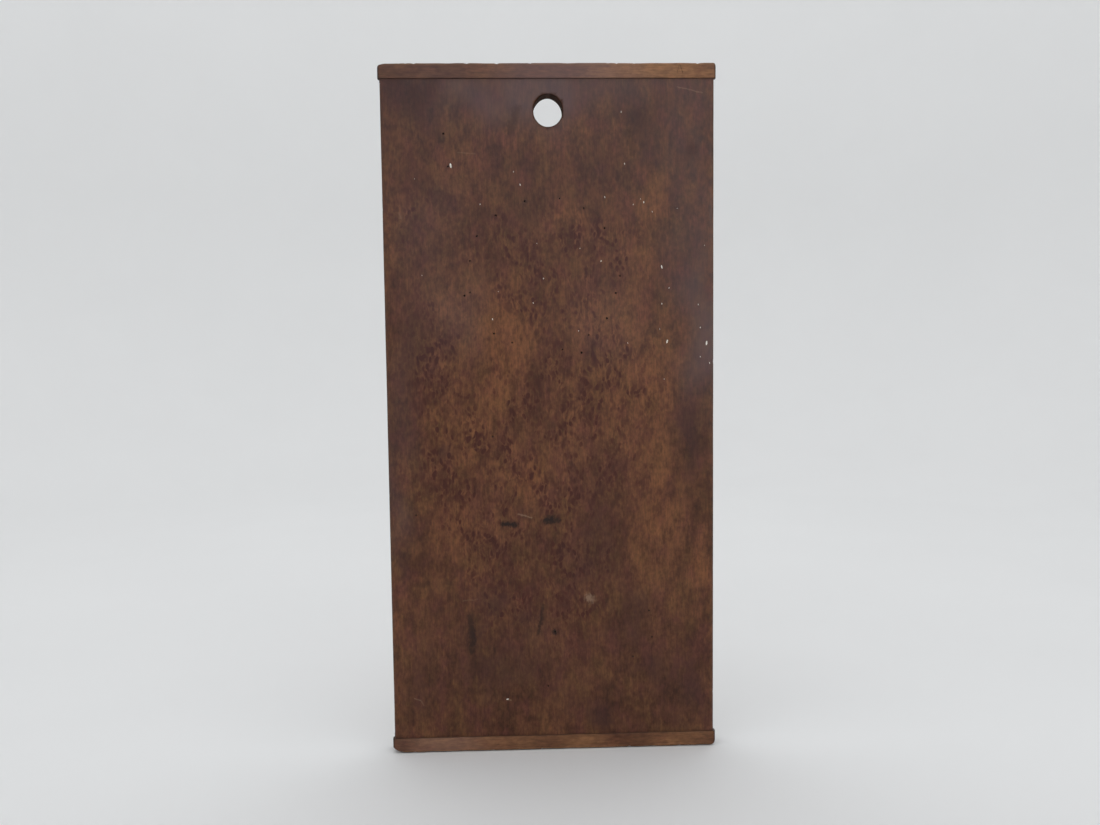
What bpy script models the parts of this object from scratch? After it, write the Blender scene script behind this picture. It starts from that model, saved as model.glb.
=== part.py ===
"""A long hardwood board with a grooved and nailed cleat across each end.

The board hangs upright from the hole near its top. X runs across it, Z up its length, and
its front faces -Y. The backs of its cleats lie in the wall plane, y = 0. The origin is the
centre of the hanging hole, in that plane. All sizes are in metres.
"""
import math

import bmesh
import bpy
from mathutils import Matrix

# Driving dimensions
BOARD_LENGTH = 0.6604        # over both cleats
CLEAT_LENGTH = 0.3175        # across the board
CLEAT_HEIGHT = 0.0142        # along the board
CLEAT_THICKNESS = 0.0205
CLEAT_EDGE_RADIUS = 0.0009
PANEL_WIDTH = 0.3140         # shrunk, so the cleats stand out at both sides
PANEL_THICKNESS = 0.0190
PANEL_EDGE_RADIUS = 0.0020
TONGUE_THICKNESS = 0.0070
TONGUE_LENGTH = 0.0070
JOINT_GAP = 0.0003
HOLE_WIDTH = 0.0275
HOLE_HEIGHT = 0.0300
HOLE_EDGE_RADIUS = 0.0010
HOLE_DROP = 0.0437           # from the board's top edge down to the hole's centre
NAIL_LENGTH = 0.0380
NAIL_NECK_HALF = 0.0013      # half the width of the square shank under the head
NAIL_TIP_HALF = 0.0007
NAIL_HEAD_HALF = 0.0023
NAIL_HEAD_HEIGHT = 0.0010
NAIL_POINT_LENGTH = 0.0030
NAIL_SINK = 0.0005           # of the head below the cleat's outer edge
NAIL_PLACES = (-0.126, -0.042, 0.042, 0.126)

# How far each outer corner of a cleat is worn away: (across the board, along it). The
# worn line bulges more as the exponent rises, from a straight cut at 1 to a round at 2.
TOP_LEFT_WEAR = (0.0080, 0.0026)
TOP_RIGHT_WEAR = (0.0026, 0.0020)
BOTTOM_LEFT_WEAR = (0.0125, 0.0060)
BOTTOM_RIGHT_WEAR = (0.0046, 0.0036)
WEAR_EXPONENT = 1.6

# Places that follow from the sizes
TOP_Z = HOLE_DROP
BOTTOM_Z = TOP_Z - BOARD_LENGTH
MIDDLE_Z = (TOP_Z + BOTTOM_Z) / 2
MIDDLE_Y = -CLEAT_THICKNESS / 2
PANEL_LENGTH = BOARD_LENGTH - 2 * CLEAT_HEIGHT - 2 * JOINT_GAP
GROOVE_DEPTH = TONGUE_LENGTH + JOINT_GAP
GROOVE_WIDTH = TONGUE_THICKNESS + 2 * JOINT_GAP
OVERRUN = 0.0050             # how far a cutter passes the wood it cuts

# Exact quarter turns, so that flat faces stay flat: they stand an outline up in the XZ
# plane, with its second axis up or down
STAND_UP = Matrix(((1, 0, 0, 0), (0, 0, -1, 0), (0, 1, 0, 0), (0, 0, 0, 1)))
STAND_DOWN = Matrix(((-1, 0, 0, 0), (0, 0, -1, 0), (0, -1, 0, 0), (0, 0, 0, 1)))

ARC_SEGMENTS = 6
EDGE_SEGMENTS = 3
EDGE_ROUNDING = 1
HOLE_SEGMENTS = 64
SQUARE_SIDES = 4


def clear_scene():
    for obj in list(bpy.data.objects):
        bpy.data.objects.remove(obj, do_unlink=True)


def new_collection(name, parent=None):
    collection = bpy.data.collections.new(name)
    parent = parent or bpy.context.scene.collection
    parent.children.link(collection)
    return collection


def new_material(name, color, roughness, metallic=0.0):
    material = bpy.data.materials.new(name)
    material.use_nodes = True
    shader = material.node_tree.nodes["Principled BSDF"]
    shader.inputs["Base Color"].default_value = (*color, 1.0)
    shader.inputs["Roughness"].default_value = roughness
    shader.inputs["Metallic"].default_value = metallic
    material.diffuse_color = (*color, 1.0)
    return material


def new_object(name, mesh, collection):
    obj = bpy.data.objects.new(name, mesh)
    collection.objects.link(obj)
    return obj


def hide_cutter(obj):
    obj.hide_render = True
    obj.display_type = "WIRE"


def box_mesh(name, size, rounded_axis=None, radius=0.0):
    """A box of this size about its own centre, with the edges along one axis rounded."""
    bm = bmesh.new()
    bmesh.ops.create_cube(bm, size=1.0)
    bmesh.ops.scale(bm, vec=size, verts=bm.verts)
    if rounded_axis is not None:
        edges = [edge for edge in bm.edges if runs_along(edge, rounded_axis)]
        bmesh.ops.bevel(bm, geom=edges, offset=radius, segments=EDGE_SEGMENTS,
                        profile=0.5, affect="EDGES")
    mesh = bpy.data.meshes.new(name)
    bm.to_mesh(mesh)
    bm.free()
    return mesh


def runs_along(edge, axis):
    direction = edge.verts[1].co - edge.verts[0].co
    return abs(direction[axis]) > 0.9 * direction.length


def turned_object(name, profile, steps, collection):
    """Turns a profile of (radius, height) points, top to bottom, about the object's Z."""
    mesh = bpy.data.meshes.new(name)
    points = [(radius, 0.0, height) for radius, height in profile]
    edges = [(index, index + 1) for index in range(len(points) - 1)]
    mesh.from_pydata(points, edges, [])
    obj = new_object(name, mesh, collection)
    screw = obj.modifiers.new("Turn", "SCREW")
    screw.axis = "Z"
    screw.steps = steps
    screw.render_steps = steps
    screw.use_smooth_shade = False
    screw.use_merge_vertices = True
    screw.merge_threshold = 0.00001
    return obj


def cut(target, cutters):
    """Takes a whole collection of cutters out of one piece."""
    boolean = target.modifiers.new("Cut", "BOOLEAN")
    boolean.operation = "DIFFERENCE"
    boolean.solver = "EXACT"
    boolean.operand_type = "COLLECTION"
    boolean.collection = cutters


def box_cutter(name, size, place, cutters):
    cutter = new_object(name, box_mesh(name, size), cutters)
    cutter.location = place
    hide_cutter(cutter)


def cleat_outline(left_wear, right_wear):
    """Points of a cleat seen from the front with its outer edge up, seam along z = 0."""
    half = CLEAT_LENGTH / 2
    points = [(-half, 0.0), (half, 0.0)]
    corners = ((1, right_wear, 0.0), (-1, left_wear, math.pi / 2))
    for side, (wear_x, wear_z), start in corners:
        centre_x = side * (half - wear_x)
        centre_z = CLEAT_HEIGHT - wear_z
        for step in range(ARC_SEGMENTS + 1):
            angle = start + step * math.pi / 2 / ARC_SEGMENTS
            points.append((centre_x + wear_x * worn(math.cos(angle)),
                           centre_z + wear_z * worn(math.sin(angle))))
    return points


def worn(share):
    """Bends a circle's sine or cosine to the worn corner's flatter line."""
    return math.copysign(abs(share) ** (2 / WEAR_EXPONENT), share)


def outline_mesh(name, points, thickness, edge_radius):
    """A flat outline in the object's XY plane, made solid along its Z, with eased edges."""
    curve = bpy.data.curves.new(name + "_outline", "CURVE")
    curve.dimensions = "2D"
    curve.fill_mode = "BOTH"
    curve.bevel_depth = edge_radius
    curve.bevel_resolution = EDGE_ROUNDING
    curve.extrude = thickness / 2 - edge_radius
    curve.offset = -edge_radius
    spline = curve.splines.new("POLY")
    spline.points.add(len(points) - 1)
    for point, (x, y) in zip(spline.points, points):
        point.co = (x, y, 0.0, 1.0)
    spline.use_cyclic_u = True
    holder = bpy.data.objects.new(name + "_outline", curve)
    bpy.context.scene.collection.objects.link(holder)
    evaluated = holder.evaluated_get(bpy.context.evaluated_depsgraph_get())
    mesh = bpy.data.meshes.new_from_object(evaluated)
    bpy.data.objects.remove(holder, do_unlink=True)
    bm = bmesh.new()
    bm.from_mesh(mesh)
    bmesh.ops.remove_doubles(bm, verts=bm.verts, dist=0.00001)
    bmesh.ops.recalc_face_normals(bm, faces=bm.faces)
    bm.to_mesh(mesh)
    bm.free()
    mesh.name = name
    return mesh


def make_cleat(name, seam_z, upward, left_wear, right_wear, parts, cutters, material):
    """A grooved bar across one end, with its seam at seam_z and its outer edge beyond it."""
    wears = (left_wear, right_wear) if upward else (right_wear, left_wear)
    mesh = outline_mesh(name, cleat_outline(*wears), CLEAT_THICKNESS, CLEAT_EDGE_RADIUS)
    mesh.transform(STAND_UP if upward else STAND_DOWN)
    cleat = new_object(name, mesh, parts)
    cleat.data.materials.append(material)
    cleat.location = (0.0, MIDDLE_Y, seam_z)
    groove_size = (CLEAT_LENGTH + 2 * OVERRUN, GROOVE_WIDTH, 2 * GROOVE_DEPTH)
    box_cutter(name + "_groove", groove_size, (0.0, MIDDLE_Y, seam_z), cutters)
    cut(cleat, cutters)


def make_panel(parts, cutters, material):
    """The wide middle board, with a tongue along each end and the hanging hole."""
    size = (PANEL_WIDTH, PANEL_THICKNESS, PANEL_LENGTH + 2 * TONGUE_LENGTH)
    mesh = box_mesh("panel", size, rounded_axis=2, radius=PANEL_EDGE_RADIUS)
    panel = new_object("panel", mesh, parts)
    panel.data.materials.append(material)
    panel.location = (0.0, MIDDLE_Y, MIDDLE_Z)
    rebate_depth = (PANEL_THICKNESS - TONGUE_THICKNESS) / 2 + OVERRUN
    rebate_length = TONGUE_LENGTH + OVERRUN
    rebate_size = (PANEL_WIDTH + 2 * OVERRUN, rebate_depth, rebate_length)
    for face, y_side in (("front", -1), ("back", 1)):
        for end, z_side in (("top", 1), ("bottom", -1)):
            y = MIDDLE_Y + y_side * (TONGUE_THICKNESS + rebate_depth) / 2
            z = MIDDLE_Z + z_side * (PANEL_LENGTH + rebate_length) / 2
            name = "panel_" + face + "_" + end + "_rebate"
            box_cutter(name, rebate_size, (0.0, y, z), cutters)
    make_hole_cutter(cutters)
    cut(panel, cutters)


def make_hole_cutter(cutters):
    """A turned plug that flares at both faces, stretched to an oval."""
    radius = HOLE_WIDTH / 2
    flare = HOLE_EDGE_RADIUS
    face = PANEL_THICKNESS / 2
    outer = radius + flare
    upper = [(0.0, face + OVERRUN), (outer, face + OVERRUN)]
    for step in range(EDGE_SEGMENTS + 1):
        angle = step * math.pi / 2 / EDGE_SEGMENTS
        upper.append((outer - flare * math.sin(angle), face - flare * (1 - math.cos(angle))))
    lower = [(r, -height) for r, height in reversed(upper)]
    plug = turned_object("hanging_hole", upper + lower, HOLE_SEGMENTS, cutters)
    plug.rotation_euler = (math.pi / 2, 0.0, 0.0)
    plug.scale = (1.0, HOLE_HEIGHT / HOLE_WIDTH, 1.0)
    plug.location = (0.0, MIDDLE_Y, 0.0)
    hide_cutter(plug)


def nail_profile(grow=0.0, rise=0.0):
    """Corner radii and heights of a square nail, head at the top.

    A nail's hole is the nail grown all round, and rises past its head.
    """
    corner = math.sqrt(2.0)
    head = corner * (NAIL_HEAD_HALF + grow)
    neck = corner * (NAIL_NECK_HALF + grow)
    tip = corner * (NAIL_TIP_HALF + grow)
    under_head = -NAIL_HEAD_HEIGHT - grow
    return [
        (0.0, rise),
        (head, rise),
        (head, under_head),
        (neck, under_head),
        (tip, NAIL_POINT_LENGTH - NAIL_LENGTH - grow),
        (0.0, -NAIL_LENGTH - grow),
    ]


def place_nail(obj, x, upward):
    """Stands a nail on its axis, head outward, with its flats square to the board."""
    end_z = TOP_Z - NAIL_SINK if upward else BOTTOM_Z + NAIL_SINK
    obj.rotation_euler = (0.0 if upward else math.pi, 0.0, math.pi / 4)
    obj.location = (x, MIDDLE_Y, end_z)


def make_nails(end, upward, parts, cleat_cutters, panel_cutters, material):
    for number, x in enumerate(NAIL_PLACES, start=1):
        name = end + "_nail_" + str(number)
        nail = turned_object(name, nail_profile(), SQUARE_SIDES, parts)
        nail.data.materials.append(material)
        place_nail(nail, x, upward)
        hole_profile = nail_profile(grow=JOINT_GAP, rise=OVERRUN)
        hole = turned_object(name + "_hole", hole_profile, SQUARE_SIDES, cleat_cutters)
        panel_cutters.objects.link(hole)
        place_nail(hole, x, upward)
        hide_cutter(hole)


def main():
    clear_scene()
    parts = new_collection("cleated_board")
    cutters = new_collection("cutters")
    panel_cutters = new_collection("panel_cutters", cutters)
    top_cutters = new_collection("top_cleat_cutters", cutters)
    bottom_cutters = new_collection("bottom_cleat_cutters", cutters)
    panel_wood = new_material("panel wood", (0.105, 0.052, 0.033), 0.45)
    cleat_wood = new_material("cleat wood", (0.190, 0.088, 0.042), 0.45)
    iron = new_material("old iron", (0.045, 0.038, 0.034), 0.60, metallic=0.85)

    make_nails("top", True, parts, top_cutters, panel_cutters, iron)
    make_nails("bottom", False, parts, bottom_cutters, panel_cutters, iron)
    make_panel(parts, panel_cutters, panel_wood)
    make_cleat("top_cleat", TOP_Z - CLEAT_HEIGHT, True,
               TOP_LEFT_WEAR, TOP_RIGHT_WEAR, parts, top_cutters, cleat_wood)
    make_cleat("bottom_cleat", BOTTOM_Z + CLEAT_HEIGHT, False,
               BOTTOM_LEFT_WEAR, BOTTOM_RIGHT_WEAR, parts, bottom_cutters, cleat_wood)


main()
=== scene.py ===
"""The looks of an old hardwood board with a grooved, nailed cleat across each end.

The board stands upright in the row's frame: X across it, Z up its length, its front
towards -Y. The panel, the cleats and the nails are remade here as worn wood and iron, each
in the place of its CAD node, with flecks of old paint on the face.
"""

import math
import random

import bmesh
import bpy
import numpy as np
from mathutils import Matrix, Vector, noise


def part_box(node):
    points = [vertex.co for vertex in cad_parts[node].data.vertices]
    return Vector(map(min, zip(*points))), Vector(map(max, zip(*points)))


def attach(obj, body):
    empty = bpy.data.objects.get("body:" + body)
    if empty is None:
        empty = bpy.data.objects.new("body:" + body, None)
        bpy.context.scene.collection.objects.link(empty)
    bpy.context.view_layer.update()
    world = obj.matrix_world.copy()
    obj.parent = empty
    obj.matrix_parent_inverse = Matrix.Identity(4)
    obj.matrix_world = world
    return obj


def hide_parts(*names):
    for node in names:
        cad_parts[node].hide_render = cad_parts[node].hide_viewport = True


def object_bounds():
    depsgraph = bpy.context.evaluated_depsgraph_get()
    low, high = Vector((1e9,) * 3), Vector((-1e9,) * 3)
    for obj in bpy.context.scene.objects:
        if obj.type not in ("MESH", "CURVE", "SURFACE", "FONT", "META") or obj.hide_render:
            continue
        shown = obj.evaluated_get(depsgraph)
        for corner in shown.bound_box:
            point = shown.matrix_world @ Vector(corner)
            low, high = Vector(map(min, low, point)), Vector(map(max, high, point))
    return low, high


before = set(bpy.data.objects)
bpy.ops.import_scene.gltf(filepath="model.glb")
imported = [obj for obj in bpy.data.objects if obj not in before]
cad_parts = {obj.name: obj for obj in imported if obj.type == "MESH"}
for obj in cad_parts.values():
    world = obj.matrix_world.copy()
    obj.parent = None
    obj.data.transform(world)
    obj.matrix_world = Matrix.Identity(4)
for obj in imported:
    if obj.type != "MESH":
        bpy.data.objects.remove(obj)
cad_low, cad_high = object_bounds()

# ---------------------------------------------------------------- the frame's sizes
MM = 0.001
PANEL_LOW, PANEL_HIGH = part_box("panel")
TOP_LOW, TOP_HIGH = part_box("top_cleat")
BOTTOM_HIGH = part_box("bottom_cleat")[1]
NAIL_LOW, NAIL_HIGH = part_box("top_nail_1")
NAILS = [name for name in sorted(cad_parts) if "nail" in name]

CENTRE = (cad_low + cad_high) / 2
PANEL_WIDTH = PANEL_HIGH.x - PANEL_LOW.x
PANEL_THICKNESS = PANEL_HIGH.y - PANEL_LOW.y
CLEAT_LENGTH = TOP_HIGH.x - TOP_LOW.x
CLEAT_THICKNESS = TOP_HIGH.y - TOP_LOW.y
CLEAT_HEIGHT = TOP_HIGH.z - TOP_LOW.z
NAIL_LENGTH = NAIL_HIGH.z - NAIL_LOW.z
NAIL_SINK = TOP_HIGH.z - NAIL_HIGH.z
FRONT_Y = PANEL_LOW.y
BACK_Y = PANEL_HIGH.y

# ---------------------------------------------------------------- sizes chosen here
JOINT_GAP = 0.3 * MM
TONGUE_THICKNESS = 7.0 * MM
GROOVE_WIDTH = TONGUE_THICKNESS + 2 * JOINT_GAP
GROOVE_DEPTH = 7.3 * MM
HOLE_HALF_WIDTH = 13.75 * MM
HOLE_HALF_HEIGHT = 15.0 * MM
HOLE_FLARE = 0.5 * MM
FLARE_STEPS = 4
HOLE_ROUGHNESS = 0.1  # mm, as is the next
HOLE_RUB = 0.5  # how much higher hanging has worn it
HOLE_SIDES = 96
HOLE_TURN = 0.37  # of a side: keeps the hole's corners off the panel's grid
PANEL_GRID = 3.0 * MM
CLEAT_GRID = 1.5 * MM
PANEL_ARRIS = 2.0 * MM
PANEL_RUB = 5.0 * MM  # how far in from the long edges the panel is rubbed
WEAR_FADE = 5.0 * MM  # over which the wear dies out towards each shoulder
CLEAT_ARRIS = 1.3 * MM
CLEAT_END_ROUND = 1.8 * MM
CLEAT_TIP = 4.0 * MM  # the stretch at each end of a cleat that is cut finely
CLEAT_TIP_CUTS = (0.0, 0.1, 0.35, 0.75, 1.3, 2.0, 2.9)  # mm from the tip
NAIL_HEAD_HALF = 2.3 * MM
NAIL_NECK_HALF = 1.3 * MM
NAIL_TIP_HALF = 0.7 * MM
NAIL_HEAD_HEIGHT = 1.0 * MM
NAIL_POINT_LENGTH = 3.0 * MM
FLECK_HALF_DEPTH = 0.16 * MM
FLECK_SINK = 0.05 * MM  # how far in from the face a fleck's middle lies
CRACK_SIZE = (0.16 * MM, 1.6 * MM, 8.0 * MM)  # half width, half depth, length
CRACK_ACROSS = 126 * MM
CRACK_RISE = 8.5 * MM  # from the seam to the cracks' middle
CRACKS = ((-0.32, 0.0), (0.3, -3.0 * MM))  # lean in radians, shift across
PIT_SIDES = 10
PIT_TAPER = 0.7  # a bore's radius inside, as a share of its mouth's
PIT_SLANT = 0.35  # radians
PIT_RADIUS = (0.75, 1.1)  # mm, least and most, as are the next
PIT_DEPTH = (4, 8)
BACK_PITS = 16

# How far each outer corner is worn away: (across the board, along it)
TOP_LEFT_WEAR = (8.0 * MM, 2.6 * MM)
TOP_RIGHT_WEAR = (2.6 * MM, 2.0 * MM)
BOTTOM_LEFT_WEAR = (12.5 * MM, 6.0 * MM)
BOTTOM_RIGHT_WEAR = (4.6 * MM, 3.6 * MM)
WEAR_EXPONENT = 1.6
DEEPEST_WEAR = CLEAT_HEIGHT - GROOVE_DEPTH - 0.9 * MM

SEED = 7


# ================================================================ shapes
# Waves, rubs, dents and nicks are in mm, and the scales of the noise are per metre
def soft_noise(x, y, z):
    """Smooth noise from -1 to 1 at a point."""
    return noise.noise(Vector((x, y, z)))


def smooth_step(low, high, value):
    """From 0 at low to 1 at high with soft ends, for a number or an array."""
    share = np.clip((np.asarray(value, float) - low) / (high - low), 0.0, 1.0)
    return share * share * (3.0 - 2.0 * share)


def rounded_section(corners, step, arc_steps):
    """A closed outline through (a, b, radius) corners, with points no further than step."""
    points = []
    count = len(corners)
    for index, (a, b, radius) in enumerate(corners):
        corner = Vector((a, b))
        before = Vector(corners[index - 1][:2]) - corner
        after = Vector(corners[(index + 1) % count][:2]) - corner
        start = corner + before.normalized() * radius
        end = corner + after.normalized() * radius
        centre = start + after.normalized() * radius
        for k in range(arc_steps + 1):
            angle = k * math.pi / 2 / arc_steps
            points.append(centre + (start - centre) * math.cos(angle)
                          + (end - centre) * math.sin(angle))
        next_a, next_b, next_radius = corners[(index + 1) % count]
        stop = Vector((next_a, next_b)) - after.normalized() * next_radius
        spans = max(1, math.ceil((stop - end).length / step))
        points += [end.lerp(stop, k / spans) for k in range(1, spans)]
    return np.array([point[:] for point in points])


def new_piece(name, mesh):
    """An object that shows a mesh, in the scene."""
    piece = bpy.data.objects.new(name, mesh)
    bpy.context.scene.collection.objects.link(piece)
    return piece


def loft(name, rings):
    """A closed skin through rings of points, each ring the same length, capped flat."""
    ring_count, size, _ = rings.shape
    faces = [list(range(size))[::-1], [(ring_count - 1) * size + k for k in range(size)]]
    for row in range(ring_count - 1):
        for k in range(size):
            after = (k + 1) % size
            faces.append((row * size + k, row * size + after,
                          (row + 1) * size + after, (row + 1) * size + k))
    mesh = bpy.data.meshes.new(name)
    mesh.from_pydata(rings.reshape(-1, 3).tolist(), [], faces)
    bm = bmesh.new()
    bm.from_mesh(mesh)
    bmesh.ops.remove_doubles(bm, verts=bm.verts, dist=0.001 * MM)
    bmesh.ops.recalc_face_normals(bm, faces=bm.faces)
    bm.to_mesh(mesh)
    bm.free()
    return mesh


def finished(name, bm):
    """The mesh that a bmesh has been building."""
    mesh = bpy.data.meshes.new(name)
    bm.to_mesh(mesh)
    bm.free()
    return mesh


def join_meshes(name, meshes, material):
    """Several closed meshes as one, in one material."""
    bm = bmesh.new()
    for mesh in meshes:
        bm.from_mesh(mesh)
        bpy.data.meshes.remove(mesh)
    joined = finished(name, bm)
    joined.materials.append(material)
    return joined


def cut_out(piece, cutter_meshes):
    """Cuts each mesh out of the piece in turn, its walls keeping the cutter's material."""
    for mesh in cutter_meshes:
        cutter = new_piece("cutter", mesh)
        boolean = piece.modifiers.new("Cut", "BOOLEAN")
        boolean.operation = "DIFFERENCE"
        boolean.solver = "MANIFOLD"
        boolean.material_mode = "TRANSFER"
        boolean.object = cutter
        evaluated = piece.evaluated_get(bpy.context.evaluated_depsgraph_get())
        result = bpy.data.meshes.new_from_object(evaluated)
        piece.modifiers.remove(boolean)
        piece.data = result
        bpy.data.objects.remove(cutter)


def shade(mesh, angle=32):
    """Smooth shading, with edges sharper than the angle in degrees left crisp."""
    mesh.shade_smooth()
    mesh.set_sharp_from_angle(angle=math.radians(angle))


def vertex_array(mesh):
    """A mesh's points as rows of x, y, z."""
    values = np.empty(len(mesh.vertices) * 3, np.float32)
    mesh.vertices.foreach_get("co", values)
    return values.reshape(-1, 3).astype(float)


def store(mesh, name, values):
    """Keeps one value from 0 to 1 for each point, for the materials to read."""
    attribute = mesh.attributes.new(name, "FLOAT", "POINT")
    attribute.data.foreach_set("value", np.clip(values, 0, 1).astype(np.float32))


# ---------------------------------------------------------------- the panel
# Marks are placed in millimetres from the board's centre: (across, up, ...)
WORM_HOLES = [
    (-81, 114), (-54, 78), (-37, 70), (36, 76), (-94, 236), (33, 195), (-76, 118),
    (54, 92), (-51, 190), (52, 176), (-68, 171), (67, 131), (11, 62), (-76, 147),
    (77, -239), (-98, 265), (11, 206), (-6, -267), (63, 115), (96, -219), (-22, 203),
    (29, 60), (-57, -21), (2, -213), (94, -194), (-132, -96),
]
PAINT_FLECKS = [  # across, up, half width, half height
    (-92, 236, 0.83, 2.3), (112, 69, 0.68, 1.7), (107, 140, 0.6, 1.7), (150, 67, 0.83, 2.2),
    (-27, 218, 0.38, 1.0), (-55, 92, 0.38, 0.9), (49, 146, 0.45, 0.9), (53, 206, 0.3, 1.0),
    (69, 285, 0.26, 1.1), (90, 201, 0.45, 1.0), (-65, 200, 0.22, 0.8), (-6, 130, 0.38, 0.7),
    (142, 104, 0.26, 0.7), (29, 158, 0.26, 0.6), (74, 68, 0.26, 0.5), (153, 48, 0.38, 1.0),
    (-16, 107, 0.34, 0.7), (-33, 230, 0.26, 0.7), (107, 105, 0.38, 0.8), (80, 199, 0.26, 0.8),
    (72, 237, 0.3, 0.9), (87, 204, 0.22, 0.5), (98, 192, 0.22, 0.9), (114, 120, 0.3, 0.7),
    (-12, 163, 0.22, 0.5), (144, 82, 0.38, 0.7), (144, 54, 0.3, 0.6), (109, 33, 0.26, 0.5),
    (27, 80, 0.22, 0.6), (105, 81, 0.19, 0.7), (-121, 134, 0.22, 0.5), (122, 195, 0.22, 0.4),
    (148, 160, 0.19, 0.5), (-126, 224, 0.19, 0.4), (-49, 118, 0.19, 0.4),
    (-46, -279, 1.2, 0.5),
]


def panel_stations(shoulder_low, shoulder_high):
    """Heights of the sections between the panel's shoulders."""
    spans = math.ceil((shoulder_high - shoulder_low) / PANEL_GRID)
    return [shoulder_low + (shoulder_high - shoulder_low) * k / spans
            for k in range(spans + 1)]


def panel_rings(shoulder_low, shoulder_high):
    """Cross-sections up the panel: a tongue, the wavy and worn middle, a tongue."""
    half_x = PANEL_WIDTH / 2
    half_y = PANEL_THICKNESS / 2
    section = rounded_section(
        [(-half_x, -half_y, PANEL_ARRIS), (half_x, -half_y, PANEL_ARRIS),
         (half_x, half_y, PANEL_ARRIS), (-half_x, half_y, PANEL_ARRIS)], PANEL_GRID, 4)
    tongue = section.copy()
    tongue[:, 1] = np.clip(tongue[:, 1], -TONGUE_THICKNESS / 2, TONGUE_THICKNESS / 2)
    middle_y = (FRONT_Y + BACK_Y) / 2

    def ring(outline, z):
        return [(a, middle_y + b, z) for a, b in outline]

    rings = [ring(tongue, PANEL_LOW.z), ring(tongue, shoulder_low)]
    stations = panel_stations(shoulder_low, shoulder_high)
    for z in stations:
        fade = min(1.0, (z - shoulder_low) / WEAR_FADE, (shoulder_high - z) / WEAR_FADE)
        rings.append(ring(worn_section(section, z, max(fade, 0.0)), z))
    rings += [ring(tongue, shoulder_high), ring(tongue, PANEL_HIGH.z)]
    return np.array(rings)


def worn_section(section, z, fade):
    """The panel's section at a height, with hand-planed waves and rubbed long edges."""
    half_x = PANEL_WIDTH / 2
    half_y = PANEL_THICKNESS / 2
    worn = section.copy()
    for index, (a, b) in enumerate(section):
        side = math.copysign(1.0, b)
        wave = 0.12 * soft_noise(a * 16, side * 3.1, z * 7)
        wave += 0.05 * soft_noise(a * 55, side * 5.3 + 9, z * 24)
        worn[index, 1] = b - side * MM * fade * (0.06 + wave) * (abs(b) > half_y - PANEL_ARRIS)
        at_edge = smooth_step(half_x - PANEL_RUB, half_x - 0.5 * MM, abs(a))
        rub = 0.02 + 0.3 * soft_noise(math.copysign(4.0, a), side * 2.7, z * 22)
        dent = max(0.0, soft_noise(math.copysign(8.0, a), side * 6.1, z * 95) - 0.42) * 2.2
        on_side = 0.45 if abs(b) < half_y - PANEL_ARRIS else 1.0
        off = math.copysign(1.0, a) * MM * at_edge * fade * (max(rub, 0) + dent) * on_side
        worn[index, 0] = a - off
    return worn


def hole_cutter(material):
    """An oval plug along Y that flares at both faces, a little worn at the top.

    Its profile is how far it grows, against y from the middle of the panel.
    """
    middle_y = (FRONT_Y + BACK_Y) / 2
    half_y = PANEL_THICKNESS / 2
    profile = [(HOLE_FLARE, half_y + 4 * MM)]
    for k in range(FLARE_STEPS + 1):
        turn = k * math.pi / (2 * FLARE_STEPS)
        profile.append((HOLE_FLARE * (1 - math.sin(turn)),
                        half_y - HOLE_FLARE * (1 - math.cos(turn))))
    profile += [(0.0, half_y * share) for share in (0.6, 0.2)]
    profile += [(grow, -y) for grow, y in reversed(profile)]
    rings = []
    for grow, y in profile:
        ring = []
        for k in range(HOLE_SIDES):
            angle = 2 * math.pi * (k + HOLE_TURN) / HOLE_SIDES
            rough = HOLE_ROUGHNESS * soft_noise(3 * math.cos(angle), 3 * math.sin(angle), y * 60)
            rub = HOLE_RUB * max(0.0, math.sin(angle)) ** 8
            out = grow + MM * rough
            ring.append(((HOLE_HALF_WIDTH + out) * math.cos(angle), middle_y + y,
                         (HOLE_HALF_HEIGHT + out + MM * rub) * math.sin(angle)))
        rings.append(ring)
    mesh = loft("hole", np.array(rings))
    mesh.materials.append(material)
    return mesh


def pit_cutter(x, z, radius, depth, front, rng):
    """A small tapering bore, as a beetle leaves, going in at a slight slant."""
    bm = bmesh.new()
    proud = 1.0 * MM
    bmesh.ops.create_cone(bm, cap_ends=True, segments=PIT_SIDES, radius1=radius * PIT_TAPER,
                          radius2=radius, depth=depth + proud)
    tilt = Matrix.Rotation(rng.uniform(-PIT_SLANT, PIT_SLANT), 4, "X")
    tilt = tilt @ Matrix.Rotation(rng.uniform(-PIT_SLANT, PIT_SLANT), 4, "Y")
    turn = Matrix.Rotation(math.radians(90 if front else -90), 4, "X")
    into = (depth - proud) / 2
    y = FRONT_Y + into if front else BACK_Y - into
    bm.transform(Matrix.Translation((x, y, z)) @ turn @ tilt)
    return finished("pit", bm)


def worm_pits(material):
    """The beetle holes: known ones in the front, a scatter in the back."""
    rng = random.Random(SEED)
    places = [(across, up, True) for across, up in WORM_HOLES]
    places += [(rng.uniform(-140, 140), rng.uniform(-290, 250), False)
               for _ in range(BACK_PITS)]
    pits = [pit_cutter(across * MM, CENTRE.z + up * MM, rng.uniform(*PIT_RADIUS) * MM,
                       rng.uniform(*PIT_DEPTH) * MM, front, rng)
            for across, up, front in places]
    return join_meshes("pits", pits, material)


# ---------------------------------------------------------------- the cleats
def corner_drop(distance, wear):
    """How far a cleat's outer edge is worn down, this far in from its end."""
    across, along = wear
    if distance >= across:
        return 0.0
    share = 1.0 - max(distance, 0.0) / across
    return along * (1.0 - (1.0 - share ** WEAR_EXPONENT) ** (1.0 / WEAR_EXPONENT))


def end_inset(distance, radius):
    """How far a rounded end has drawn in from the sides, this far in from its tip."""
    if distance >= radius:
        return 0.0
    share = 1.0 - max(distance, 0.0) / radius
    return radius * (1.0 - math.sqrt(max(0.0, 1.0 - share * share)))


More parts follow.
